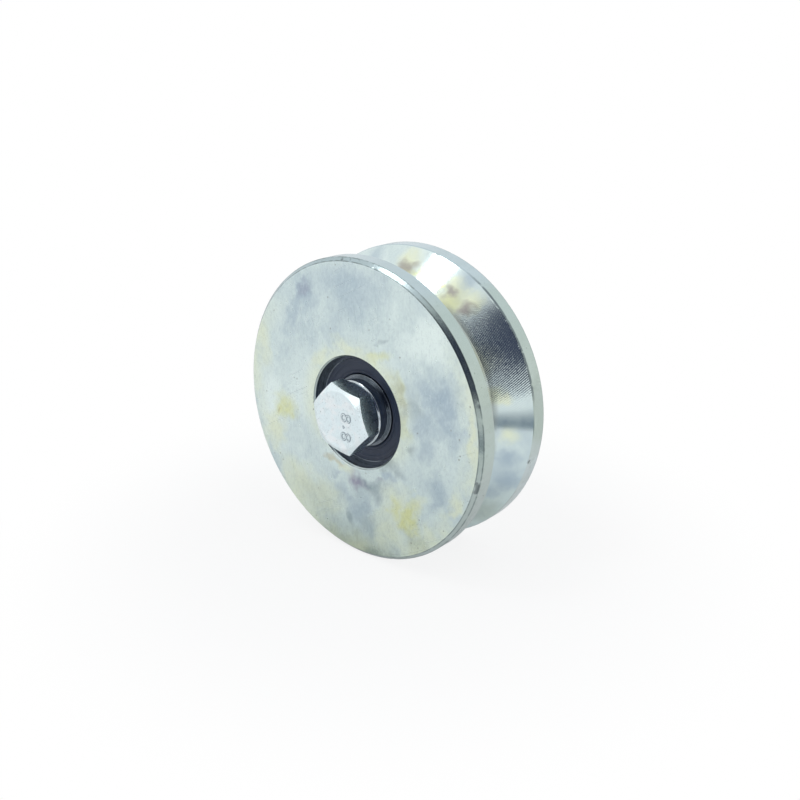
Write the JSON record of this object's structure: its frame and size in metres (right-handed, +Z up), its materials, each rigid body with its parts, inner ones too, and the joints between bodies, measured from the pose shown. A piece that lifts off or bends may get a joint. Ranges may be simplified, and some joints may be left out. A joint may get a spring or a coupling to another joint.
{
  "type": "v groove wheel",
  "caption": "Turned steel wheel with a V groove in its rim, on sealed ball bearings and a hex bolt axle, for a sliding gate that runs on an angle rail.",
  "frame": {"origin": "centre of the wheel: on its axis, in the middle plane of the V groove", "axes": "+Y along the axle from the bolt's head to its free threaded end, +Z up, +X to the right seen from the head"},
  "size_m": [0.09, 0.0665, 0.09],
  "materials": {
    "wheel_zinc": "turned steel, zinc plated and clear passivated",
    "fastener_zinc": "bright zinc plated",
    "bearing_steel": "ground bearing steel",
    "polished_steel": "polished bearing steel",
    "cage_steel": "pressed sheet steel",
    "spring_steel": "phosphated spring steel",
    "seal_rubber": "satin moulded nitrile rubber"
  },
  "bodies": {
    "axle": {"axle_bolt": "fastener_zinc", "axle_bush": "fastener_zinc", "rear_spacer": "fastener_zinc", "plain_washer": "fastener_zinc", "spring_washer": "fastener_zinc", "hex_nut": "fastener_zinc", "front_inner_ring": "bearing_steel", "rear_inner_ring": "bearing_steel"},
    "wheel": {"wheel_body": "wheel_zinc", "front_outer_ring": "bearing_steel", "rear_outer_ring": "bearing_steel", "front_bearing_outer_seal": "seal_rubber", "front_bearing_inner_seal": "seal_rubber", "rear_bearing_inner_seal": "seal_rubber", "rear_bearing_outer_seal": "seal_rubber", "circlip": "spring_steel"},
    "front_ball_cage": {"front_balls": "polished_steel", "front_cage_outer_half": "cage_steel", "front_cage_inner_half": "cage_steel", "front_cage_rivets": "cage_steel"},
    "rear_ball_cage": {"rear_balls": "polished_steel", "rear_cage_inner_half": "cage_steel", "rear_cage_outer_half": "cage_steel", "rear_cage_rivets": "cage_steel"}
  },
  "joints": [
    {"name": "wheel_spin", "type": "hinge", "parent": "axle", "child": "wheel", "pos_m": [0, 0, 0], "axis": [0, 1, 0], "continuous": true},
    {"name": "front_cage_spin", "type": "hinge", "parent": "axle", "child": "front_ball_cage", "pos_m": [0, -0.0063, 0], "axis": [0, 1, 0], "continuous": true},
    {"name": "rear_cage_spin", "type": "hinge", "parent": "axle", "child": "rear_ball_cage", "pos_m": [0, 0.0047, 0], "axis": [0, 1, 0], "continuous": true}
  ],
  "couplings": [
    {"joint": "front_cage_spin", "follows": "wheel_spin", "ratio": 0.6191},
    {"joint": "rear_cage_spin", "follows": "wheel_spin", "ratio": 0.6191}
  ]
}
